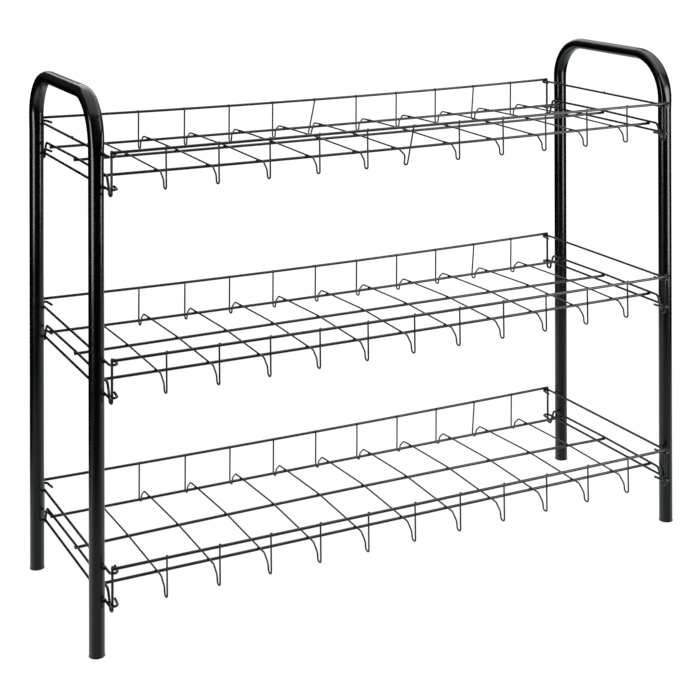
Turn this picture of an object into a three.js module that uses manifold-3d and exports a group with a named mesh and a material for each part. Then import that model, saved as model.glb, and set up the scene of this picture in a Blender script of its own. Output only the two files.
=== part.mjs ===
// Three-tier wire shoe rack: two inverted-U tube frames joined by three lift-off wire shelves.
// Millimetres, +Z up. X runs along the rack's length, Y from front (-) to back (+).
// The origin is the centre of the footprint on the floor.
import * as THREE from "three";
import { mergeVertices } from "three/addons/utils/BufferGeometryUtils.js";
import Module from "manifold-3d";

// Overall sizes.
const LENGTH = 640;
const HEIGHT = 498;
const TUBE_DIAMETER = 14;
const TUBE_WALL = 1;
const LEG_SPACING = 194;
const BEND_RADIUS = 45;

// Shelf heights, given at the centre of the two top rails.
const TIERS = [
  ["top", 444],
  ["middle", 262],
  ["bottom", 80],
];

// Wire gauges.
const RAIL_DIAMETER = 2.8;
const END_WIRE_DIAMETER = 2.4;
const HOOK_WIRE_DIAMETER = 2.4;
const CROSS_WIRE_DIAMETER = 1.7;

// Shelf layout. Heights below the top rails are positive downwards.
const CROSS_WIRES = 11;
const CROSS_PITCH = 50.5;
const TOP_RAIL_Y = 112.4;
const FLOOR_RAIL_Y = 81;
const FLOOR_DROP = 25.2;
const CROWN = 0.75;
const TOP_RAIL_HALF = 304.6;
const FLOOR_RAIL_HALF = 303.8;

// Hooks welded to the frames: the pair at each shelf, and their turned-back ends.
const WELD_SINK = 0.8;
const HOOK_LEG_SPACING = 6.9;
const HOOK_BEND_RADIUS = 3.4;
const HOOK_APEX_Y = 113;
const HOOK_TIP_Y = 99;
const REST_GAP = 0.1;
const LOWER_HOOK_DROP = 31.6;
const SLIDE_GAP = 0.3;

// Foot plugs pressed into the open tube ends.
const PLUG_RIM = 1.3;
const PLUG_RIM_DIAMETER = 14.6;
const PLUG_STEM = 14;
const PLUG_STEM_DIAMETER = 11.6;
const PLUG_EDGE = 0.5;

const tubeRadius = TUBE_DIAMETER / 2;
const legX = LENGTH / 2 - tubeRadius;
const legY = LEG_SPACING / 2;
const hookX = legX - tubeRadius - HOOK_WIRE_DIAMETER / 2 + WELD_SINK;
const endWireX = hookX - HOOK_WIRE_DIAMETER / 2 - SLIDE_GAP - END_WIRE_DIAMETER / 2;
const upperHookDrop = (RAIL_DIAMETER + HOOK_WIRE_DIAMETER) / 2 + REST_GAP;

const wasm = await Module();
wasm.setup();

// A path through given points that an extrusion follows one ring per point, so that straight runs
// stay single segments. At each point the section faces along the bisector of the two runs.
class BentPath extends THREE.Curve {
  constructor(points) {
    super();
    this.points = points;
  }
  getUtoTmapping(u) {
    return u;
  }
  getPoint(t, target = new THREE.Vector3()) {
    const place = t * (this.points.length - 1);
    const index = Math.min(Math.floor(place + 1e-6), this.points.length - 1);
    const next = Math.min(index + 1, this.points.length - 1);
    const share = Math.max(place - index, 0);
    return target.lerpVectors(this.points[index], this.points[next], share);
  }
  getTangent(t, target = new THREE.Vector3()) {
    const last = this.points.length - 1;
    const index = Math.round(t * last);
    target.set(0, 0, 0);
    if (index > 0) {
      const before = this.points[index].clone().sub(this.points[index - 1]);
      target.add(before.normalize());
    }
    if (index < last) {
      const after = this.points[index + 1].clone().sub(this.points[index]);
      target.add(after.normalize());
    }
    return target.normalize();
  }
}

// Rounds the inner corners of a polyline. Each corner is [point, radius, segments].
function rounded(corners) {
  const path = [];
  corners.forEach(([corner, radius, segments], i) => {
    if (!radius) {
      path.push(corner.clone());
      return;
    }
    const back = corners[i - 1][0].clone().sub(corner).normalize();
    const ahead = corners[i + 1][0].clone().sub(corner).normalize();
    const half = back.angleTo(ahead) / 2;
    const middle = back.clone().add(ahead).normalize();
    const centre = corner.clone().addScaledVector(middle, radius / Math.sin(half));
    const start = corner.clone().addScaledVector(back, radius / Math.tan(half)).sub(centre);
    const axis = back.clone().cross(start).normalize();
    const sweep = Math.PI - 2 * half;
    for (let k = 0; k <= segments; k++) {
      const arm = start.clone().applyAxisAngle(axis, (sweep * k) / segments);
      path.push(arm.add(centre));
    }
  });
  return path;
}

function ring(diameter, sides) {
  const points = [];
  for (let k = 0; k < sides; k++) {
    const angle = (2 * Math.PI * k) / sides;
    points.push(new THREE.Vector2(Math.cos(angle), Math.sin(angle)).multiplyScalar(diameter / 2));
  }
  return points;
}

function sweep(points, diameter, sides, bore = 0) {
  const shape = new THREE.Shape(ring(diameter, sides));
  if (bore) shape.holes.push(new THREE.Path(ring(bore, sides)));
  return new THREE.ExtrudeGeometry(shape, {
    steps: points.length - 1,
    bevelEnabled: false,
    extrudePath: new BentPath(points),
  });
}

function solid(geometry) {
  const bare = new THREE.BufferGeometry();
  const flat = geometry.index ? geometry.toNonIndexed() : geometry;
  bare.setAttribute("position", flat.getAttribute("position"));
  const merged = mergeVertices(bare, 1e-4);
  return new wasm.Manifold(
    new wasm.Mesh({
      numProp: 3,
      vertProperties: merged.attributes.position.array,
      triVerts: new Uint32Array(merged.index.array),
    }),
  );
}

function join(geometries) {
  const mesh = wasm.Manifold.union(geometries.map(solid)).getMesh();
  const joined = new THREE.BufferGeometry();
  joined.setAttribute("position", new THREE.BufferAttribute(mesh.vertProperties, 3));
  joined.setIndex(new THREE.BufferAttribute(mesh.triVerts, 1));
  joined.computeVertexNormals();
  return joined;
}

const rack = new THREE.Group();
rack.name = "shoe_rack";

function add(name, geometry, color, roughness, metalness) {
  const material = new THREE.MeshStandardMaterial({ color, roughness, metalness });
  const mesh = new THREE.Mesh(geometry, material);
  mesh.name = name;
  rack.add(mesh);
}

function addCoated(name, geometry) {
  add(name, geometry, 0x1c1e1e, 0.38, 0.2);
}

// A straight wire along X, centred at the given Y and Z.
function rail(half, y, z) {
  const bar = new THREE.CylinderGeometry(RAIL_DIAMETER / 2, RAIL_DIAMETER / 2, 2 * half, 8);
  return bar.rotateZ(Math.PI / 2).translate(0, y, z);
}

// The inverted-U tube of one side frame, open at both feet above the plug rims.
function frameTube(x) {
  const top = HEIGHT - tubeRadius;
  return sweep(
    rounded([
      [new THREE.Vector3(x, -legY, PLUG_RIM), 0],
      [new THREE.Vector3(x, -legY, top), BEND_RADIUS, 6],
      [new THREE.Vector3(x, legY, top), BEND_RADIUS, 6],
      [new THREE.Vector3(x, legY, PLUG_RIM), 0],
    ]),
    TUBE_DIAMETER,
    16,
    TUBE_DIAMETER - 2 * TUBE_WALL,
  );
}

// A hook wire across the inside of a frame, with both ends turned back towards the middle.
function hookWire(side, z) {
  const outer = side * hookX;
  const inner = side * (hookX - HOOK_LEG_SPACING);
  return sweep(
    rounded([
      [new THREE.Vector3(inner, -HOOK_TIP_Y, z), 0],
      [new THREE.Vector3(inner, -HOOK_APEX_Y, z), HOOK_BEND_RADIUS, 2],
      [new THREE.Vector3(outer, -HOOK_APEX_Y, z), HOOK_BEND_RADIUS, 2],
      [new THREE.Vector3(outer, HOOK_APEX_Y, z), HOOK_BEND_RADIUS, 2],
      [new THREE.Vector3(inner, HOOK_APEX_Y, z), HOOK_BEND_RADIUS, 2],
      [new THREE.Vector3(inner, HOOK_TIP_Y, z), 0],
    ]),
    HOOK_WIRE_DIAMETER,
    6,
  );
}

// A shelf's front-to-back wire. Going outwards from the middle it runs along the floor, drops to
// a narrow loop, and rises inside the top rail. The outline lists its corners as distances from
// the middle and from the top rails: [y, z, bend radius, segments].
function frontToBackWire(x, railZ, outline, diameter, sides) {
  const half = outline.map(([y, z, radius, segments]) => [y, railZ + z, radius, segments]);
  const front = half.map(([y, z, radius, segments]) => [
    new THREE.Vector3(x, -y, z),
    radius,
    segments,
  ]);
  const back = half
    .slice(0, -1)
    .reverse()
    .map(([y, z, radius, segments]) => [new THREE.Vector3(x, y, z), radius, segments]);
  return sweep(rounded([...front, ...back]), diameter, sides);
}

const crossFloorZ = -FLOOR_DROP + (RAIL_DIAMETER + CROSS_WIRE_DIAMETER) / 2;
const crossOutline = [
  [110.1, 1, 0],
  [110.8, -37, 2.8, 2],
  [104.4, -37, 2.8, 2],
  [103.4, -29.6, 6, 1],
  [95, crossFloorZ - 0.1, 6, 1],
  [0, crossFloorZ + CROWN, 0],
];

const endFloorZ = -FLOOR_DROP + (RAIL_DIAMETER + END_WIRE_DIAMETER) / 2;
const endOutline = [
  [109.8, 1.2, 0],
  [109.8, -38.8, 2.8, 2],
  [103.4, -38.8, 2.8, 2],
  [102.2, -34, 4, 1],
  [97, endFloorZ - 0.1, 5, 2],
  [0, endFloorZ + CROWN, 0],
];

function addShelf(tier, railZ) {
  const floorZ = railZ - FLOOR_DROP;
  addCoated(`${tier}_rail_front_top`, rail(TOP_RAIL_HALF, -TOP_RAIL_Y, railZ));
  addCoated(`${tier}_rail_front_floor`, rail(FLOOR_RAIL_HALF, -FLOOR_RAIL_Y, floorZ));
  addCoated(`${tier}_rail_middle_floor`, rail(FLOOR_RAIL_HALF, 0, floorZ + CROWN));
  addCoated(`${tier}_rail_back_floor`, rail(FLOOR_RAIL_HALF, FLOOR_RAIL_Y, floorZ));
  addCoated(`${tier}_rail_back_top`, rail(TOP_RAIL_HALF, TOP_RAIL_Y, railZ));
  for (const [side, x] of [["left", -endWireX], ["right", endWireX]]) {
    const wire = frontToBackWire(x, railZ, endOutline, END_WIRE_DIAMETER, 6);
    addCoated(`${tier}_end_wire_${side}`, wire);
  }
  for (let i = 1; i <= CROSS_WIRES; i++) {
    const x = (i - (CROSS_WIRES + 1) / 2) * CROSS_PITCH;
    const wire = frontToBackWire(x, railZ, crossOutline, CROSS_WIRE_DIAMETER, 5);
    addCoated(`${tier}_cross_wire_${String(i).padStart(2, "0")}`, wire);
  }
}

function addFrame(name, side) {
  const hooks = TIERS.flatMap(([, railZ]) => [
    hookWire(side, railZ - upperHookDrop),
    hookWire(side, railZ - LOWER_HOOK_DROP),
  ]);
  addCoated(`frame_${name}`, join([frameTube(side * legX), ...hooks]));
}

// A foot plug: a rim under the tube end with a rounded lower edge, and a stem inside the tube.
function addPlug(name, x, y) {
  const rim = PLUG_RIM_DIAMETER / 2;
  const stem = PLUG_STEM_DIAMETER / 2;
  const profile = [
    [0, 0],
    [rim - PLUG_EDGE, 0],
    [rim, PLUG_EDGE],
    [rim, PLUG_RIM],
    [stem, PLUG_RIM],
    [stem, PLUG_STEM],
    [0, PLUG_STEM],
  ].map(([radius, z]) => new THREE.Vector2(radius, z));
  const plug = new THREE.LatheGeometry(profile, 16).rotateX(Math.PI / 2);
  add(`foot_plug_${name}`, plug.translate(x, y, 0), 0x101111, 0.6, 0);
}

for (const [tier, railZ] of TIERS) addShelf(tier, railZ);
addFrame("left", -1);
addFrame("right", 1);
addPlug("front_left", -legX, -legY);
addPlug("back_left", -legX, legY);
addPlug("front_right", legX, -legY);
addPlug("back_right", legX, legY);

export default rack;
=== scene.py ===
"""Three-tier wire shoe rack in satin black: two bent tube frames with welded hooks, and three
wire shelves that hang in them. Every piece is built here in millimetres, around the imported
frame's own boxes, and scaled to metres when its mesh is made."""

import math

import bmesh
import bpy
from mathutils import Matrix, Quaternion, Vector, noise


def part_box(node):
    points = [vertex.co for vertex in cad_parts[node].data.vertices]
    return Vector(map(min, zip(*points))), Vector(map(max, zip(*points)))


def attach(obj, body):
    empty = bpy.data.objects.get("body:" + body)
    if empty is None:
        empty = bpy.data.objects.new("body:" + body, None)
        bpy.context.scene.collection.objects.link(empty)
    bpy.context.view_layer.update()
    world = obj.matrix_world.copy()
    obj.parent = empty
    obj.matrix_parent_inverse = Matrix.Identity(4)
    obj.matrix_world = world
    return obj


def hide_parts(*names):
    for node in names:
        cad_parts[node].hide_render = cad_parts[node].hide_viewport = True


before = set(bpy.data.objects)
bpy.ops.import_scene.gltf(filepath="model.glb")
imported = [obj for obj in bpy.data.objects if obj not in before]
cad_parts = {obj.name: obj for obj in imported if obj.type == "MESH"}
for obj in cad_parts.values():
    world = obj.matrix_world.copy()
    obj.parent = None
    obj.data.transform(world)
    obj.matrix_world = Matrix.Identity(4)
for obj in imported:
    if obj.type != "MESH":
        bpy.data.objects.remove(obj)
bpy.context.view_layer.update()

MM = 0.001
TIERS = ("top", "middle", "bottom")
SIDES = ("left", "right")
RAILS = ("front_top", "front_floor", "middle_floor", "back_floor", "back_top")

# Wires and tubes, in millimetres, and how finely they are drawn.
TUBE_RADIUS = 7
TUBE_WALL = 1
BEND_RADIUS = 45
RAIL_RADIUS = 1.4
END_WIRE_RADIUS = 1.2
HOOK_RADIUS = 1.2
CROSS_WIRE_RADIUS = 0.85
TUBE_SIDES = 64
WIRE_SIDES = 14
CROSS_WIRE_SIDES = 12
ARC_STEP = math.radians(7)
LONGEST_WIRE_RUN = 12
LONGEST_TUBE_RUN = 6

# How close to a tube's end its shading turns over: a share of its last run.
CRISP_END = 0.04

# A wire's sheared end, from its rim inwards: (width, how far it stands out), and how much further
# its middle stands out, as shares of the wire's radius.
SHEARED_END = ((0.99, 0.02), (0.93, 0.1), (0.8, 0.17), (0.45, 0.24))
SHEARED_MIDDLE = 0.03

# How the tubes' walls moved when they were bent: shares of the radius.
BEND_PRESS = 0.08
BEND_INNER_PRESS = 0.22
BEND_BULGE = 0.05
BEND_SQUARENESS = 1.8
TOP_BAR_SQUARENESS = 0.18

# Where that starts and is full, in millimetres above the start of a bend, and where the
# squareness starts to go and is gone, in millimetres inwards from a leg.
PRESS_START = (-15, 28)
SQUARE_START = (-14, 32)
SQUARE_END = (15, 44)

# How much further each bend's outer wall is pressed in.
BEND_DENT = {
    ("front", "left"): -0.18,
    ("back", "left"): 0.27,
    ("front", "right"): 0.08,
    ("back", "right"): 0.12,
}

# The hooks: a wire across each frame with its ends turned back.
HOOK_LEG_SPACING = 6.9
HOOK_BEND_RADIUS = 3.4
HOOK_APEX_Y = 113
HOOK_TIP_Y = 99
HOOK_TIP_SPLAY = 1.6
WELD_SINK = 0.8

# How far the hooks of a shelf lie below its front top rail.
HOOK_DROPS = {"upper": 2.7, "lower": 31.6}

# How deep the end and cross wires sink into the floor rails at their welds.
WIRE_SINK = 0.1

# Beyond this distance from the middle, front or back, a rail belongs to an upright edge.
FLOOR_EDGE_Y = 100

# Weld metal, in half sizes. At a crossing, flash spreads past the wire along the rail, and is
# wide across the rail and thin through it. Then the fillet between a hook and a tube, and how
# far it lies towards the tube, and the lump in the middle of the top shelf's upper hooks. The
# detail is how often a lump's faces are divided.
FLASH_SPREAD = 0.55
FLASH_WIDE = 1.3
FLASH_THIN = 0.5
FLASH_UNEVENNESS = 0.35
FLASH_DETAIL = 2
FILLET_SIZES = (1.1, 3.9, 2.0)
FILLET_INSET = 0.7
FILLET_UNEVENNESS = 0.4
HOOK_LUMP_SIZES = (1.5, 1.3, 1.5)
HOOK_LUMP_RISE = 0.4
HOOK_LUMP_UNEVENNESS = 0.5
HOOK_WELD_DETAIL = 3

# A foot plug, in millimetres: the tube hides the top of its rim, and its stem's ribs hold it.
FOOT_TUCK = 0.5
PLUG_PLAY = 0.2
PLUG_EDGE_RADIUS = 0.35
PLUG_EDGE_STEPS = 6
PLUG_CHAMFER = 0.1
PLUG_TIP_CHAMFER = 0.6
RIBS = 3
RIB_START = 2
RIB_PITCH = 3.6
RIB_DEPTH = 0.6
RIB_CREST = 1.2
RIB_LENGTH = 2.2
PLUG_SIDES = 48

# The shallow recess under a foot plug, from its middle out: (inwards from the rim, height).
PLUG_RECESS = ((3.2, 0.35), (2.6, 0.05), (2.3, 0))

# A front-to-back wire, from its welded top end to the middle of the floor:
# (inwards from the top rail, above the loop's bottom or None for the floor, bend radius).
CROSS_OUTLINE = (
    (2.3, 38.0, 0),
    (1.6, 0, 2.8),
    (8.0, 0, 2.8),
    (9.0, 7.4, 6),
    (17.4, None, 6),
)
END_OUTLINE = (
    (2.6, 40.0, 0),
    (2.6, 0, 2.8),
    (9.0, 0, 2.8),
    (10.2, 4.8, 4),
    (15.4, None, 5),
)

# How far the rails have bowed at mid-length, millimetres down, from the front top rail to the
# back top rail.
SAG = {
    "top": (0.3, 1.3, 1.0, 1.6, 3.0),
    "middle": (0.8, 0.7, -0.4, 1.7, 3.0),
    "bottom": (0.3, -0.3, -2.3, 0.0, 1.8),
}

# Cross wires that were welded askew: how far the floor and the loops lie to the right of the
# top welds, from the front to the middle and at the back.
ASKEW = {
    ("top", 6): (-8.0, -8.0),
    ("top", 10): (0.0, -2.5),
    ("middle", 10): (0.0, -2.5),
    ("bottom", 10): (0.0, -2.5),
}

# Beyond this distance from the middle, a cross wire is the upright leg under its top weld.
CROSS_LEG_Y = 99

# How far the shelves' corners are from the middle, and how far each, front and back, and the
# hooks under it stand above their drawn height.
CORNER_X = 305
CORNER_Y = 113
CORNER_LIFT = {"left": (0.0, -0.4), "right": (1.1, 0.0)}

# How much lower again each frame's hooks are.
HOOK_SETTLE = {"left": 0.8, "right": 0}

# How far the shelves' right front corner reaches past its drawn place.
FRONT_STRETCH = 1.5

# The parts of a noise's range that hold most of its values, fewer, and only the middle ones.
MOST = (0.3, 0.7)
MIDDLE = (0.35, 0.65)
CORE = (0.4, 0.6)

# The paint: sizes of its blotches, grain, orange peel, draw lines and lumps in millimetres, then
# what they do to its roughness and sheen, its clear coat, and how green its greys are.
CLOUD_SIZE = 45
GRAIN_SIZE = 1.1
PEEL_SIZE = 2.6
DRAWN_SIZE = 1.6
DRAWN_STRETCH = 0.04
LUMP_SIZE = 1.8
GRAIN_ROUGHNESS = (-0.03, 0.05)
DRAWN_ROUGHNESS = (-0.02, 0.02)
SHEEN = (0.4, 0.6)
CLEAR_COAT = 0.25
CLEAR_COAT_ROUGHNESS = 0.16
FAINT_GREEN = 1.02

# Dust specks in the paint: how many to the metre, how wide, and what they change.
DUST_SCALE = 160.0
DUST_WIDTH = (0.03, 0.07)
DUST_GREY = 0.12
DUST_SHARE = 0.25
DUST_ROUGHNESS = 0.2

# Edges where the paint has worn thin: how sharp they are, and how much lighter.
WORN_SHARPNESS = (0.54, 0.62)
WORN_SHARE = 0.5
WORN_LIGHTENING = 2.2

# The foot plugs' polythene, and the patchy scuffed band at its bottom, in millimetres and greys.
PLASTIC_CLOUD_SIZE = 9
PLASTIC_GRAIN_SIZE = 0.5
PLASTIC_GRAIN_DEPTH = 0.06
PLASTIC_GREYS = (0.012, 0.022)
PLASTIC_ROUGHNESS = (0.38, 0.52)
SCUFF_HEIGHT = 0.9
SCUFF_GREY = 0.04
SCUFF_SHARE = 0.7
SCUFF_PATCHES = (0.2, 1)

# The camera, in metres and radians, with its lens and sensor in millimetres, from where to where
# it sees, and how close to its own place the lens shift holds.
CAMERA_PLACE = Vector((-0.7290, -1.4163, 0.6887))
CAMERA_YAW = 0.4685
CAMERA_PITCH = -0.0027
CAMERA_ROLL = -0.0025
CAMERA_LENS = 79.61
CAMERA_SENSOR = 36
CAMERA_SHIFT = -0.6877
CAMERA_REACH = (0.05, 60)
HOME_SIZE = 0.02

# The floor: its own shade, how bright the overhead light makes it, and the white it reads as.
FLOOR_SIZE = 60
FLOOR_SHADE = 0.2
FLOOR_LIT = 0.1
FLOOR_WHITE = 1.07

# The part of the floor that glows in the paint's reflections, a painted reflection of a lit floor:
# for each soft edge, the direction that points into it and how far along that direction it starts
# and is full, in metres.
SHEET_EDGES = (
    ((0.64, -0.77, 0), (-0.57, -0.37)),
    ((0.45, 0.89, 0), (-0.68, -0.43)),
    ((-0.89, 0.45, 0), (-0.93, -0.65)),
)

# How brightly that painted reflection glows for rays that leave the paint along the rack and for
# rays that leave it towards the camera, how far they lean to the camera where one goes over into
# the other, and the direction away from the camera.
SHEET_BRIGHTNESS = (0.77, 0.385)
SHEET_TURN = (0.25, 0.6)
FACING = (0.247, 0.969, 0)

# The room's dim light in the paint's reflections, and the faint green of the room and the floor.
ROOM_LIGHT = 0.033
ROOM_TINT = (0.89, 1.0, 0.96, 1)

# The lights, in metres: name, place, what it faces, (width, height), radiance.
SOFTBOXES = (
    ("left_strip", (-1.0, -0.33, 0.54), (0, 0, 0.54), (0.34, 0.8), 6.5),
    ("right_strip", (0.54, -0.52, 0.39), (0, 0, 0.39), (0.26, 0.5), 6.5),
    ("back_panel", (0.51, 1.6, 1.4), (0.1, 0, 0.5), (1.27, 1.12), 1.5),
    ("backdrop", (1.15, 1.5, 0.72), (0.3, 0, 0.72), (1.1, 0.3), 1.5),
    ("front_box", (0.85, -1.25, 1.5), (0.1, 0, 0.45), (0.7, 0.8), 2.4),
)

# The overhead lights, which face straight down: name, x, width, radiance.
OVERHEADS = (
    ("overhead_left", -0.3, 1.7, 0.8),
    ("overhead_middle", 1.0, 0.9, 2.0),
    ("overhead_right", 1.95, 1.0, 1.2),
)
OVERHEAD_Y = 0.3
OVERHEAD_HEIGHT = 2.2
OVERHEAD_LENGTH = 2.8


# ---------------------------------------------------------------- reading the frame


def box_mm(node):
    low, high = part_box(node)
    return low / MM, high / MM


def centre_mm(node):
    low, high = box_mm(node)
    return (low + high) / 2


# ---------------------------------------------------------------- shapes


def clamped(value, low, high):
    return min(max(value, low), high)


def eased(start, end, value):
    """0 up to the start, 1 from the end, and a soft rise between them."""
    share = clamped((value - start) / (end - start), 0, 1)
    return share * share * (3 - 2 * share)


def turns(sides):
    """The angles of a round section's corners."""
    return [2 * math.pi * k / sides for k in range(sides)]


def rounded(corners):
    """The points of a polyline with its inner corners rounded. A corner is (point, radius)."""
    path = []
    for i, (corner, radius) in enumerate(corners):
        corner = Vector(corner)
        if not radius:
            path.append(corner)
            continue
        back = (Vector(corners[i - 1][0]) - corner).normalized()
        ahead = (Vector(corners[i + 1][0]) - corner).normalized()
        half = back.angle(ahead) / 2
        centre = corner + (back + ahead).normalized() * (radius / math.sin(half))
        start = corner + back * (radius / math.tan(half)) - centre
        axis = back.cross(start)
        turn = math.pi - 2 * half
        count = max(2, math.ceil(turn / ARC_STEP))
        for k in range(count + 1):
            path.append(centre + Quaternion(axis, turn * k / count) @ start)
    return path


def divided(path, longest):
    """The path with points added, so that no straight run is longer than the given length."""
    points = [path[0]]
    for before, after in zip(path, path[1:]):
        count = max(1, math.ceil((after - before).length / longest))
        for k in range(1, count + 1):
            points.append(before.lerp(after, k / count))
    return points


def crisp_ended(path):
    """The path with a point close to each end, so that smooth shading turns over only there."""
    start = path[0].lerp(path[1], CRISP_END)
    end = path[-1].lerp(path[-2], CRISP_END)
    return [path[0], start] + path[1:-1] + [end, path[-1]]


def carried_frames(path):
    """For each point, two directions square to the path that don't twist along it, and the
    path's own direction."""
    frames = []
    tangents = []
    for i in range(len(path)):
        before = path[max(i - 1, 0)]
        after = path[min(i + 1, len(path) - 1)]
        tangents.append((after - before).normalized())
    across = tangents[0].orthogonal().normalized()
    for i, tangent in enumerate(tangents):
        if i:
            across = tangents[i - 1].rotation_difference(tangent) @ across
        across = (across - tangent * across.dot(tangent)).normalized()
        frames.append((across, tangent.cross(across), tangent))
    return frames


def swept_rings(path, radii, sides):
    rings = []
    for point, radius, (across, beside, _) in zip(path, radii, carried_frames(path)):
        ring = []
        for turn in turns(sides):
            ring.append(point + (across * math.cos(turn) + beside * math.sin(turn)) * radius)
        rings.append(ring)
    return rings


def skin(rings, first):
    """Quads between neighbouring rings, facing out, with vertices numbered from first."""
    sides = len(rings[0])
    faces = []
    for r in range(len(rings) - 1):
        for k in range(sides):
            low = first + r * sides
            after = (k + 1) % sides
            faces.append((low + k, low + after, low + sides + after, low + sides + k))
    return faces


def capped(rings, start, end):
    """A closed solid: the rings' skin, with a fan of triangles to a point at each end."""
    sides = len(rings[0])
    vertices = [v for ring in rings for v in ring]
    faces = skin(rings, 0)
    last = len(vertices) - sides
    vertices += [start, end]
    for k in range(sides):
        after = (k + 1) % sides
        faces.append((after, k, len(vertices) - 2))
        faces.append((last + k, last + after, len(vertices) - 1))
    return vertices, faces


def wire(path, radius, sides=WIRE_SIDES):
    """A closed round wire along the path, with sheared ends: a small burr bevel and a low dome."""
    ahead = (path[-1] - path[-2]).normalized()
    back = (path[0] - path[1]).normalized()
    starts = [(path[0] + back * (out * radius), wide * radius) for wide, out in SHEARED_END]
    ends = [(path[-1] + ahead * (out * radius), wide * radius) for wide, out in SHEARED_END]
    stations = starts[::-1] + [(point, radius) for point in path] + ends
    points = [point for point, _ in stations]
    rings = swept_rings(points, [r for _, r in stations], sides)
    start = points[0] + back * (SHEARED_MIDDLE * radius)
    end = points[-1] + ahead * (SHEARED_MIDDLE * radius)
    return capped(rings, start, end)


def flattened_ring(point, tangent, radius, pressed, squared, dent, sides):
    """A tube's section in a bend: its outer wall is pressed in, and dented a little further,
    and its sides bulge. The bend lies in an upright plane across X, and its outside is to the
    left of the path."""
    beside = Vector((1, 0, 0))
    outwards = beside.cross(tangent).normalized()
    ring = []
    for turn in turns(sides):
        out = math.cos(turn)
        side = math.sin(turn)
        if out > 0:
            square = 2 / (2 + BEND_SQUARENESS * squared)
            depth = radius * (1 - BEND_PRESS * pressed - dent) * out**square
            width = math.copysign(abs(side) ** square, side)
        else:
            depth = radius * (1 - BEND_INNER_PRESS * pressed) * out
            width = side
        width *= radius * (1 + BEND_BULGE * pressed)
        ring.append(point + outwards * depth + beside * width)
    return ring


def pipe(path, shaping, radius, bore, sides):
    """A closed hollow tube along the path, open at both ends."""
    tangents = [tangent for _, _, tangent in carried_frames(path)]
    stations = list(zip(path, tangents, shaping))
    outer = [flattened_ring(p, t, radius, *shape, sides) for p, t, shape in stations]
    inner = [flattened_ring(p, t, bore, *shape, sides) for p, t, shape in stations]
    vertices = [v for ring in outer + inner for v in ring]
    inside = len(outer) * sides
    faces = skin(outer, 0)
    faces += [tuple(reversed(face)) for face in skin(inner, inside)]
    last = inside - sides
    for k in range(sides):
        after = (k + 1) % sides
        faces.append((after, k, inside + k, inside + after))
        faces.append((last + k, last + after, inside + last + after, inside + last + k))
    return vertices, faces


def lathe(profile, place, sides):
    """A closed solid turned about a vertical axis. The profile starts and ends on the axis."""
    rings = []
    for radius, z in profile[1:-1]:
        ring = []
        for turn in turns(sides):
            ring.append(place + Vector((radius * math.cos(turn), radius * math.sin(turn), z)))
        rings.append(ring)
    start = place + Vector((0, 0, profile[0][1]))
    end = place + Vector((0, 0, profile[-1][1]))
    return capped(rings, start, end)


def bead(place, half_sizes, unevenness, detail):
    """A lump of weld metal: a ball squashed to the given half sizes, with an uneven surface."""
    lumps_per_ball = 1.7
    ball = bmesh.new()
    bmesh.ops.create_icosphere(ball, subdivisions=detail, radius=1)
    vertices = []
    for vertex in ball.verts:
        swell = 1 + unevenness * noise.noise(vertex.co * lumps_per_ball + place)
        vertices.append(place + Vector(a * b for a, b in zip(vertex.co * swell, half_sizes)))
    faces = [tuple(v.index for v in face.verts) for face in ball.faces]
    ball.free()
    return vertices, faces


def together(shapes):
    """Several closed shapes as one mesh."""
    vertices = []
    faces = []
    for points, sides in shapes:
        first = len(vertices)
        vertices += points
        faces += [tuple(first + i for i in face) for face in sides]
    return vertices, faces


def add_piece(name, shape, material, body, nodes=()):
    vertices, faces = shape
    mesh = bpy.data.meshes.new(name)
    mesh.from_pydata([v * MM for v in vertices], [], faces)
    mesh.polygons.foreach_set("use_smooth", [True] * len(faces))
    mesh.materials.append(material)
    mesh.update()
    piece = bpy.data.objects.new(name, mesh)
    bpy.context.scene.collection.objects.link(piece)
    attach(piece, body)
    if nodes:
        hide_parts(*nodes)


# ---------------------------------------------------------------- materials


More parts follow.
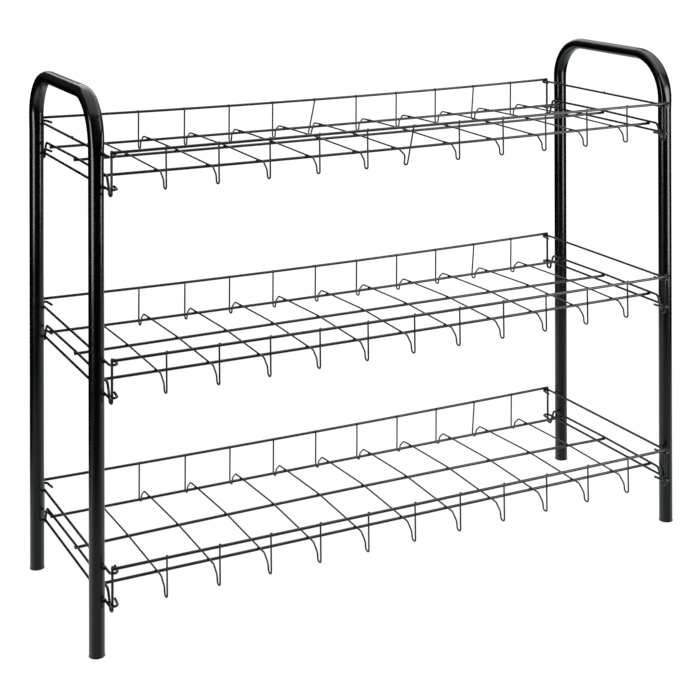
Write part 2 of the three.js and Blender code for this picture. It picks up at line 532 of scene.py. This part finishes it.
class Nodes:
    """Adds shader nodes to one material and joins them."""

    def __init__(self, name):
        self.material = bpy.data.materials.new(name)
        self.material.use_nodes = True
        self.tree = self.material.node_tree
        self.tree.nodes.clear()

    def add(self, kind, inputs=None, **settings):
        node = self.tree.nodes.new(kind)
        for key, value in settings.items():
            setattr(node, key, value)
        for key, value in (inputs or {}).items():
            if isinstance(value, bpy.types.NodeSocket):
                self.tree.links.new(value, node.inputs[key])
            else:
                node.inputs[key].default_value = value
        return node

    def noise(self, vector, size_mm, detail, roughness=0.5):
        """Soft noise whose blotches are about the given size."""
        scale = 1 / (size_mm * MM)
        node = self.add(
            "ShaderNodeTexNoise",
            {"Vector": vector, "Scale": scale, "Detail": detail, "Roughness": roughness},
        )
        return node.outputs["Fac"]

    def spread(self, value, source, target):
        """The value, with the source range stretched to the target range and cut off there."""
        node = self.add(
            "ShaderNodeMapRange",
            {
                "Value": value,
                "From Min": source[0],
                "From Max": source[1],
                "To Min": target[0],
                "To Max": target[1],
            },
        )
        return node.outputs["Result"]

    def math(self, operation, a, b):
        return self.add("ShaderNodeMath", {0: a, 1: b}, operation=operation).outputs[0]

    def along(self, vector, direction):
        """How far the vector reaches in the direction."""
        inputs = {0: vector, 1: direction}
        node = self.add("ShaderNodeVectorMath", inputs, operation="DOT_PRODUCT")
        return node.outputs["Value"]

    def blend(self, share, a, b):
        """Colour a turned into colour b by the share. The node's colours are its sockets 6 and 7,
        and its mixed colour is output 2."""
        node = self.add("ShaderNodeMix", {0: share, 6: a, 7: b}, data_type="RGBA")
        return node.outputs[2]

    def bump(self, height, depth_mm, under=None):
        inputs = {"Height": height, "Strength": 1.0, "Distance": depth_mm * MM}
        if under is not None:
            inputs["Normal"] = under
        return self.add("ShaderNodeBump", inputs).outputs["Normal"]

    def surface(self, shader):
        output = self.add("ShaderNodeOutputMaterial")
        self.tree.links.new(shader.outputs[0], output.inputs["Surface"])
        return self.material

    def principled(self, **inputs):
        names = {key.replace("_", " "): value for key, value in inputs.items()}
        return self.surface(self.add("ShaderNodeBsdfPrincipled", names))


def grey(value):
    """A grey with the paint's faint green."""
    return (value, value * FAINT_GREEN, value, 1)


def coating(name, greys, roughness, peel_mm, grain_mm, lumps_mm=0.0):
    """Satin black stoved paint: cloudy colour, uneven gloss, orange peel and a fine grain."""
    make = Nodes(name)
    place = make.add("ShaderNodeTexCoord").outputs["Object"]
    cloud = make.noise(place, CLOUD_SIZE, detail=3)
    fine = make.noise(place, GRAIN_SIZE, detail=3, roughness=0.6)
    peel = make.noise(place, PEEL_SIZE, detail=1)
    drawn_place = make.add(
        "ShaderNodeMapping", {"Vector": place, "Scale": (1, 1, DRAWN_STRETCH)}
    ).outputs["Vector"]
    drawn = make.noise(drawn_place, DRAWN_SIZE, detail=2)
    speck = make.add(
        "ShaderNodeTexVoronoi", {"Vector": place, "Scale": DUST_SCALE, "Randomness": 1.0}
    ).outputs["Distance"]
    dust = make.spread(speck, DUST_WIDTH, (1, 0))
    sharpness = make.add("ShaderNodeNewGeometry").outputs["Pointiness"]
    worn = make.spread(sharpness, WORN_SHARPNESS, (0, WORN_SHARE))

    dark, light = greys
    shade = make.blend(make.spread(cloud, MIDDLE, (0, 1)), grey(dark), grey(light))
    shade = make.blend(make.math("MULTIPLY", dust, DUST_SHARE), shade, grey(DUST_GREY))
    shade = make.blend(worn, shade, grey(light * WORN_LIGHTENING))

    gloss = make.spread(cloud, MOST, roughness)
    gloss = make.math("ADD", gloss, make.spread(fine, MOST, GRAIN_ROUGHNESS))
    gloss = make.math("ADD", gloss, make.spread(drawn, MIDDLE, DRAWN_ROUGHNESS))
    gloss = make.math("ADD", gloss, make.math("MULTIPLY", dust, DUST_ROUGHNESS))

    normal = make.bump(peel, peel_mm)
    normal = make.bump(fine, grain_mm, normal)
    if lumps_mm:
        lumps = make.noise(place, LUMP_SIZE, detail=4, roughness=0.7)
        normal = make.bump(lumps, lumps_mm, normal)
    return make.principled(
        Base_Color=shade,
        Roughness=gloss,
        Normal=normal,
        Specular_IOR_Level=make.spread(fine, MOST, SHEEN),
        Coat_Weight=CLEAR_COAT,
        Coat_Roughness=CLEAR_COAT_ROUGHNESS,
        Coat_Normal=normal,
    )


def moulded(name):
    """Black polythene: a matt moulded grain, a faint scuffed lower edge."""
    make = Nodes(name)
    place = make.add("ShaderNodeTexCoord").outputs["Object"]
    cloud = make.noise(place, PLASTIC_CLOUD_SIZE, detail=3)
    grain = make.noise(place, PLASTIC_GRAIN_SIZE, detail=3, roughness=0.65)
    height = make.add("ShaderNodeSeparateXYZ", {0: place}).outputs["Z"]
    scuff = make.spread(height, (0, SCUFF_HEIGHT * MM), (SCUFF_SHARE, 0))
    scuff = make.math("MULTIPLY", scuff, make.spread(cloud, CORE, SCUFF_PATCHES))
    dark, light = PLASTIC_GREYS
    shade = make.blend(make.spread(grain, MOST, (0, 1)), grey(dark), grey(light))
    return make.principled(
        Base_Color=make.blend(scuff, shade, grey(SCUFF_GREY)),
        Roughness=make.spread(grain, MOST, PLASTIC_ROUGHNESS),
        Normal=make.bump(grain, PLASTIC_GRAIN_DEPTH),
    )


# ---------------------------------------------------------------- how the rack has settled


def corner_shares(x, y):
    """How far across from left to right this place is, and how far ahead from back to front."""
    across = clamped(x / CORNER_X + 1, 0, 2) / 2
    ahead = clamped(1 - y / CORNER_Y, 0, 2) / 2
    return across, ahead


def lifted(x, y):
    """How far the rack stands above its drawn height at this place."""
    across, ahead = corner_shares(x, y)
    left_front, left_back = CORNER_LIFT["left"]
    right_front, right_back = CORNER_LIFT["right"]
    left = left_front * ahead + left_back * (1 - ahead)
    right = right_front * ahead + right_back * (1 - ahead)
    return left * (1 - across) + right * across


def stretched(point):
    """The point, moved as far as the shelf reaches past its drawn place here."""
    across, ahead = corner_shares(point.x, point.y)
    return point + Vector((FRONT_STRETCH * across * ahead, 0, 0))


def bowed(tier, point, places, half_length):
    """The point, moved down as far as the shelf has bowed there, and up with its corners."""
    depth = 0.0
    stops = [place.y for place in places]
    y = clamped(point.y, stops[0], stops[-1])
    for i in range(len(stops) - 1):
        if stops[i] <= y <= stops[i + 1]:
            share = (y - stops[i]) / (stops[i + 1] - stops[i])
            depth = SAG[tier][i] * (1 - share) + SAG[tier][i + 1] * share
    along = min(abs(point.x) / half_length, 1)
    lift = lifted(point.x, point.y) - depth * (1 - along * along)
    return point + Vector((0, 0, lift))


def askew(tier, index, point, top_z, loop_z):
    """The point, moved sideways where its cross wire was welded askew."""
    if (tier, index) not in ASKEW:
        return point
    front, back = ASKEW[(tier, index)]
    amount = front + (back - front) * max(point.y, 0) / CORNER_Y
    below = clamped((top_z - point.z) / (top_z - loop_z), 0, 1)
    reach = 1 if abs(point.y) < CROSS_LEG_Y else below
    return point + Vector((amount * reach, 0, 0))


# ---------------------------------------------------------------- shelves


def front_to_back(x, places, loop_z, outline, radius):
    """The corners of a front-to-back wire, with its middle resting on the middle rail."""
    front_top, front_floor, middle, _, back_top = places
    floor_z = front_floor.z + RAIL_RADIUS + radius - WIRE_SINK
    front = []
    back = []
    for inwards, above, bend in outline:
        z = floor_z if above is None else loop_z + above
        front.append(((x, front_top.y + inwards, z), bend))
        back.append(((x, back_top.y - inwards, z), bend))
    crown = ((x, 0, middle.z + RAIL_RADIUS + radius), 0)
    return front + [crown] + back[::-1]


def weld_flash(place, settled, path, radius):
    """Flash squeezed out where a front-to-back wire was welded to a rail. It takes the rail's
    drawn place, a function from a drawn place to the settled one, and the wire's settled path."""
    height_weight = 0.3
    nearest = min(path, key=lambda p: abs(p.y - place.y) + height_weight * abs(p.z - place.z))
    middle = settled(Vector((nearest.x, place.y, place.z)))
    touch = middle.lerp(nearest, RAIL_RADIUS / (RAIL_RADIUS + radius))
    sizes = (radius + FLASH_SPREAD, FLASH_WIDE, FLASH_THIN)
    if abs(place.y) > FLOOR_EDGE_Y:
        sizes = (radius + FLASH_SPREAD, FLASH_THIN, FLASH_WIDE)
    return bead(touch, sizes, FLASH_UNEVENNESS, FLASH_DETAIL)


def add_shelf(tier, coat, weld_coat):
    body = f"{tier}_shelf"
    places = [centre_mm(f"{tier}_rail_{name}") for name in RAILS]
    low, high = box_mm(f"{tier}_rail_front_top")
    half_length = (high.x - low.x) / 2
    top_z = places[0].z
    welds = []

    def settled(point):
        return bowed(tier, point, places, half_length)

    def add_wire(node, path, radius, sides=WIRE_SIDES):
        shape = wire(path, radius, sides)
        add_piece(f"{node}_coated", shape, coat, body, [node])

    for name, place in zip(RAILS, places):
        node = f"{tier}_rail_{name}"
        low, high = box_mm(node)
        ends = [Vector((low.x, place.y, place.z)), Vector((high.x, place.y, place.z))]
        path = [settled(stretched(point)) for point in divided(ends, LONGEST_WIRE_RUN)]
        add_wire(node, path, RAIL_RADIUS)

    for side in SIDES:
        node = f"{tier}_end_wire_{side}"
        low, _ = box_mm(node)
        x = centre_mm(node).x
        loop_z = low.z + END_WIRE_RADIUS
        corners = front_to_back(x, places, loop_z, END_OUTLINE, END_WIRE_RADIUS)
        path = [settled(point) for point in divided(rounded(corners), LONGEST_WIRE_RUN)]
        add_wire(node, path, END_WIRE_RADIUS)
        welds += [weld_flash(place, settled, path, END_WIRE_RADIUS) for place in places]

    cross_nodes = sorted(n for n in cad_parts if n.startswith(f"{tier}_cross_wire_"))
    for index, node in enumerate(cross_nodes, start=1):
        low, _ = box_mm(node)
        x = centre_mm(node).x
        loop_z = low.z + CROSS_WIRE_RADIUS
        corners = front_to_back(x, places, loop_z, CROSS_OUTLINE, CROSS_WIRE_RADIUS)
        path = divided(rounded(corners), LONGEST_WIRE_RUN)
        path = [stretched(askew(tier, index, point, top_z, loop_z)) for point in path]
        path = [settled(point) for point in path]
        add_wire(node, path, CROSS_WIRE_RADIUS, CROSS_WIRE_SIDES)
        welds += [weld_flash(place, settled, path, CROSS_WIRE_RADIUS) for place in places]

    add_piece(f"{tier}_shelf_welds", together(welds), weld_coat, body)


# ---------------------------------------------------------------- frames


def hook_path(sign, outer, z):
    """The hook wire's middle line across one frame, from turned-back end to turned-back end.
    Its long leg is at the given x, and its ends lie further from the tube."""
    inner = outer - sign * HOOK_LEG_SPACING
    front = [
        ((inner - sign * HOOK_TIP_SPLAY, -HOOK_TIP_Y, z), 0),
        ((inner, -HOOK_APEX_Y, z), HOOK_BEND_RADIUS),
        ((outer, -HOOK_APEX_Y, z), HOOK_BEND_RADIUS),
    ]
    back = [((x, -y, z), bend) for (x, y, z), bend in reversed(front)]
    path = divided(rounded(front + back), LONGEST_WIRE_RUN)
    return [point + Vector((0, 0, lifted(point.x, point.y))) for point in path]


def add_hook(side, tier, level, tube_x, leg_ys, coat, weld_coat):
    """A hook wire, the fillets that hold it to both legs, and at the top the lump it carries."""
    sign = 1 if side == "right" else -1
    outer = tube_x - sign * (TUBE_RADIUS + HOOK_RADIUS - WELD_SINK)
    z = centre_mm(f"{tier}_rail_front_top").z - HOOK_DROPS[level] - HOOK_SETTLE[side]
    name = f"hook_{side}_{tier}_{level}"
    shape = wire(hook_path(sign, outer, z), HOOK_RADIUS)
    add_piece(name, shape, coat, "side_frames")
    welds = []
    for y in leg_ys:
        middle = Vector((outer + sign * FILLET_INSET, y, z + lifted(outer, y)))
        welds.append(bead(middle, FILLET_SIZES, FILLET_UNEVENNESS, HOOK_WELD_DETAIL))
    if tier == "top" and level == "upper":
        middle = Vector((outer, 0, z + HOOK_LUMP_RISE + lifted(outer, 0)))
        welds.append(bead(middle, HOOK_LUMP_SIZES, HOOK_LUMP_UNEVENNESS, HOOK_WELD_DETAIL))
    add_piece(f"{name}_welds", together(welds), weld_coat, "side_frames")


def bend_shaping(side, point, front_y, back_y, top_z):
    """How far the tube is pressed thinner here, and how far its outer face is squared: both 0
    down the legs and 1 in the bends; the top bar stays pressed, but is rounder. Last, the
    bend's own dent."""
    above = point.z - (top_z - BEND_RADIUS)
    inside = min(point.y - front_y, back_y - point.y)
    pressed = eased(*PRESS_START, above)
    bar = eased(*SQUARE_END, inside)
    bent = eased(*SQUARE_START, above)
    squared = bent * (1 - bar * (1 - TOP_BAR_SQUARENESS))
    end = "front" if point.y < (front_y + back_y) / 2 else "back"
    return pressed, squared, BEND_DENT[(end, side)] * bent * (1 - bar)


def add_frame(side, coat, weld_coat):
    node = f"frame_{side}"
    low, high = box_mm(node)
    front = centre_mm(f"foot_plug_front_{side}")
    back = centre_mm(f"foot_plug_back_{side}")
    top_z = high.z - TUBE_RADIUS
    foot_z = low.z - FOOT_TUCK
    corners = [
        ((front.x, front.y, foot_z), 0),
        ((front.x, front.y, top_z), BEND_RADIUS),
        ((front.x, back.y, top_z), BEND_RADIUS),
        ((front.x, back.y, foot_z), 0),
    ]
    path = crisp_ended(divided(rounded(corners), LONGEST_TUBE_RUN))
    shaping = [bend_shaping(side, point, front.y, back.y, top_z) for point in path]
    shape = pipe(path, shaping, TUBE_RADIUS, TUBE_RADIUS - TUBE_WALL, TUBE_SIDES)
    add_piece(f"{node}_tube", shape, coat, "side_frames", [node])
    for tier in TIERS:
        for level in HOOK_DROPS:
            add_hook(side, tier, level, front.x, (front.y, back.y), coat, weld_coat)


def add_foot_plug(end, side, plastic):
    """A pressed-in foot: a rim with a rounded lower edge under the tube, and a ribbed stem."""
    node = f"foot_plug_{end}_{side}"
    low, high = box_mm(node)
    place = Vector(((low.x + high.x) / 2, (low.y + high.y) / 2, low.z))
    rim = (high.x - low.x) / 2
    height = high.z - low.z
    tube_end, _ = box_mm(f"frame_{side}")
    rim_top = tube_end.z - low.z - FOOT_TUCK
    stem = TUBE_RADIUS - TUBE_WALL - PLUG_PLAY
    core = stem - RIB_DEPTH
    profile = [(0, PLUG_RECESS[0][1])]
    profile += [(rim - inwards, z) for inwards, z in PLUG_RECESS]
    edge = PLUG_EDGE_RADIUS
    for k in range(PLUG_EDGE_STEPS + 1):
        turn = math.pi / 2 * k / PLUG_EDGE_STEPS
        profile.append((rim - edge + edge * math.sin(turn), edge - edge * math.cos(turn)))
    profile += [(rim, rim_top - PLUG_CHAMFER), (rim - PLUG_CHAMFER, rim_top), (stem, rim_top)]
    for k in range(RIBS):
        z = rim_top + RIB_START + k * RIB_PITCH
        profile += [(core, z), (stem, z + RIB_CREST), (core, z + RIB_LENGTH)]
    profile += [(core, height - PLUG_TIP_CHAMFER), (core - PLUG_TIP_CHAMFER, height), (0, height)]
    shape = lathe(profile, place, PLUG_SIDES)
    add_piece(f"{node}_moulded", shape, plastic, "side_frames", [node])


# ---------------------------------------------------------------- studio


def add_camera():
    """A camera that is all but level, with its lens shifted down, so that uprights stay upright
    in the picture."""
    yaw, pitch, roll = CAMERA_YAW, CAMERA_PITCH, CAMERA_ROLL
    level = Vector((math.cos(yaw), -math.sin(yaw), 0))
    ahead = Vector((math.sin(yaw), math.cos(yaw), 0)) * math.cos(pitch)
    ahead.z = -math.sin(pitch)
    above = level.cross(ahead)
    right = level * math.cos(roll) + above * math.sin(roll)
    up = above * math.cos(roll) - level * math.sin(roll)
    data = bpy.data.cameras.new("camera")
    data.lens = CAMERA_LENS
    data.sensor_width = CAMERA_SENSOR
    data.clip_start, data.clip_end = CAMERA_REACH
    camera = bpy.data.objects.new("camera", data)
    bpy.context.scene.collection.objects.link(camera)
    turned = Matrix((right, up, -ahead)).transposed().to_4x4()
    camera.matrix_world = Matrix.Translation(CAMERA_PLACE) @ turned
    bpy.context.scene.camera = camera
    shift_lens_at_home(camera)


def shift_lens_at_home(camera):
    """The lens shift holds only at the camera's own place, and is gone once it stands elsewhere."""
    home = bpy.data.objects.new("camera_home", None)
    home.location = CAMERA_PLACE
    bpy.context.scene.collection.objects.link(home)
    curve = camera.data.driver_add("shift_y")
    curve.driver.type = "AVERAGE"
    distance = curve.driver.variables.new()
    distance.type = "LOC_DIFF"
    distance.targets[0].id = camera
    distance.targets[1].id = home
    for modifier in list(curve.modifiers):
        curve.modifiers.remove(modifier)
    while curve.keyframe_points:
        curve.keyframe_points.remove(curve.keyframe_points[0])
    for apart, shift in ((0.0, CAMERA_SHIFT), (HOME_SIZE, 0.0)):
        key = curve.keyframe_points.insert(apart, shift)
        key.interpolation = "LINEAR"
    curve.extrapolation = "CONSTANT"


def add_softbox(name, place, aim, size, radiance, lights_floor=False):
    """An area light that the camera doesn't see, as bright as its radiance from any distance."""
    data = bpy.data.lights.new(name, "AREA")
    data.shape = "RECTANGLE"
    data.size, data.size_y = size
    data.energy = radiance * math.pi * size[0] * size[1]
    lamp = bpy.data.objects.new(name, data)
    bpy.context.scene.collection.objects.link(lamp)
    lamp.location = place
    lamp.rotation_mode = "QUATERNION"
    lamp.rotation_quaternion = (Vector(aim) - Vector(place)).to_track_quat("-Z", "Y")
    lamp.visible_camera = False
    lamp.visible_diffuse = lights_floor


def add_lights():
    for softbox in SOFTBOXES:
        add_softbox(*softbox)
    for name, x, width, radiance in OVERHEADS:
        place = (x, OVERHEAD_Y, OVERHEAD_HEIGHT)
        below = (x, OVERHEAD_Y, 0)
        add_softbox(name, place, below, (width, OVERHEAD_LENGTH), radiance, lights_floor=True)


def add_floor():
    """A plain floor that reads as white paper out to the horizon, and that the black paint
    mirrors as a dim glowing sheet, a painted reflection, fading out a little way round the rack."""
    bpy.ops.mesh.primitive_plane_add(size=FLOOR_SIZE, location=(0, 0, 0))
    floor = bpy.context.object
    floor.name = "floor"
    make = Nodes("floor_paper")
    place = make.add("ShaderNodeTexCoord").outputs["Object"]
    is_camera_ray = make.add("ShaderNodeLightPath").outputs["Is Camera Ray"]

    # The overhead light falls off as the fourth power of the cosine of its slant, and the glow
    # makes up for it.
    paper = make.add("ShaderNodeBsdfDiffuse", {"Color": (FLOOR_SHADE,) * 3 + (1,)})
    apart = make.add("ShaderNodeVectorMath", {0: place}, operation="LENGTH").outputs["Value"]
    slant = make.math("POWER", make.math("MULTIPLY", apart, 1 / OVERHEAD_HEIGHT), 2.0)
    fading = make.math("POWER", make.math("ADD", slant, 1.0), -2.0)
    glow = make.math("SUBTRACT", FLOOR_WHITE, make.math("MULTIPLY", fading, FLOOR_LIT))
    white = make.add("ShaderNodeEmission", {"Strength": glow})
    seen = make.add("ShaderNodeAddShader", {0: paper.outputs[0], 1: white.outputs[0]})

    # Rays that are not the camera's see the floor as a glowing sheet: a painted reflection of a lit
    # floor, brighter where they leave the paint along the rack.
    back = make.add("ShaderNodeNewGeometry").outputs["Incoming"]
    sheet = make.spread(make.along(back, FACING), SHEET_TURN, SHEET_BRIGHTNESS)
    for inwards, edge in SHEET_EDGES:
        inside = make.spread(make.along(place, inwards), edge, (0, 1))
        sheet = make.math("MULTIPLY", sheet, inside)
    painted_reflection = make.add("ShaderNodeEmission", {"Color": ROOM_TINT, "Strength": sheet})

    shaders = {0: is_camera_ray, 1: painted_reflection.outputs[0], 2: seen.outputs[0]}
    floor.data.materials.append(make.surface(make.add("ShaderNodeMixShader", shaders)))


def add_world():
    """White behind the rack, and a dim room in the paint's reflections."""
    world = bpy.data.worlds.new("studio")
    world.use_nodes = True
    bpy.context.scene.world = world
    tree = world.node_tree
    tree.nodes.clear()
    mix = tree.nodes.new("ShaderNodeMixShader")
    rays = tree.nodes.new("ShaderNodeLightPath")
    tree.links.new(rays.outputs["Is Camera Ray"], mix.inputs[0])
    for place, colour, strength in ((1, ROOM_TINT, ROOM_LIGHT), (2, (1, 1, 1, 1), 1)):
        light = tree.nodes.new("ShaderNodeBackground")
        light.inputs["Color"].default_value = colour
        light.inputs["Strength"].default_value = strength
        tree.links.new(light.outputs[0], mix.inputs[place])
    output = tree.nodes.new("ShaderNodeOutputWorld")
    tree.links.new(mix.outputs[0], output.inputs["Surface"])


# ---------------------------------------------------------------- the rack

bpy.context.scene.view_settings.view_transform = "Standard"

tube_coat = coating(
    "tube_coating",
    greys=(0.002, 0.004),
    roughness=(0.18, 0.24),
    peel_mm=0.0008,
    grain_mm=0.0003,
)
wire_coat = coating(
    "wire_coating",
    greys=(0.003, 0.006),
    roughness=(0.28, 0.36),
    peel_mm=0.001,
    grain_mm=0.0004,
)
weld_coat = coating(
    "weld_coating",
    greys=(0.002, 0.004),
    roughness=(0.35, 0.5),
    peel_mm=0.01,
    grain_mm=0.006,
    lumps_mm=0.08,
)
plastic = moulded("foot_plastic")

for tier in TIERS:
    add_shelf(tier, wire_coat, weld_coat)
for side in SIDES:
    add_frame(side, tube_coat, weld_coat)
    for end in ("front", "back"):
        add_foot_plug(end, side, plastic)

add_floor()
add_world()
add_lights()
add_camera()
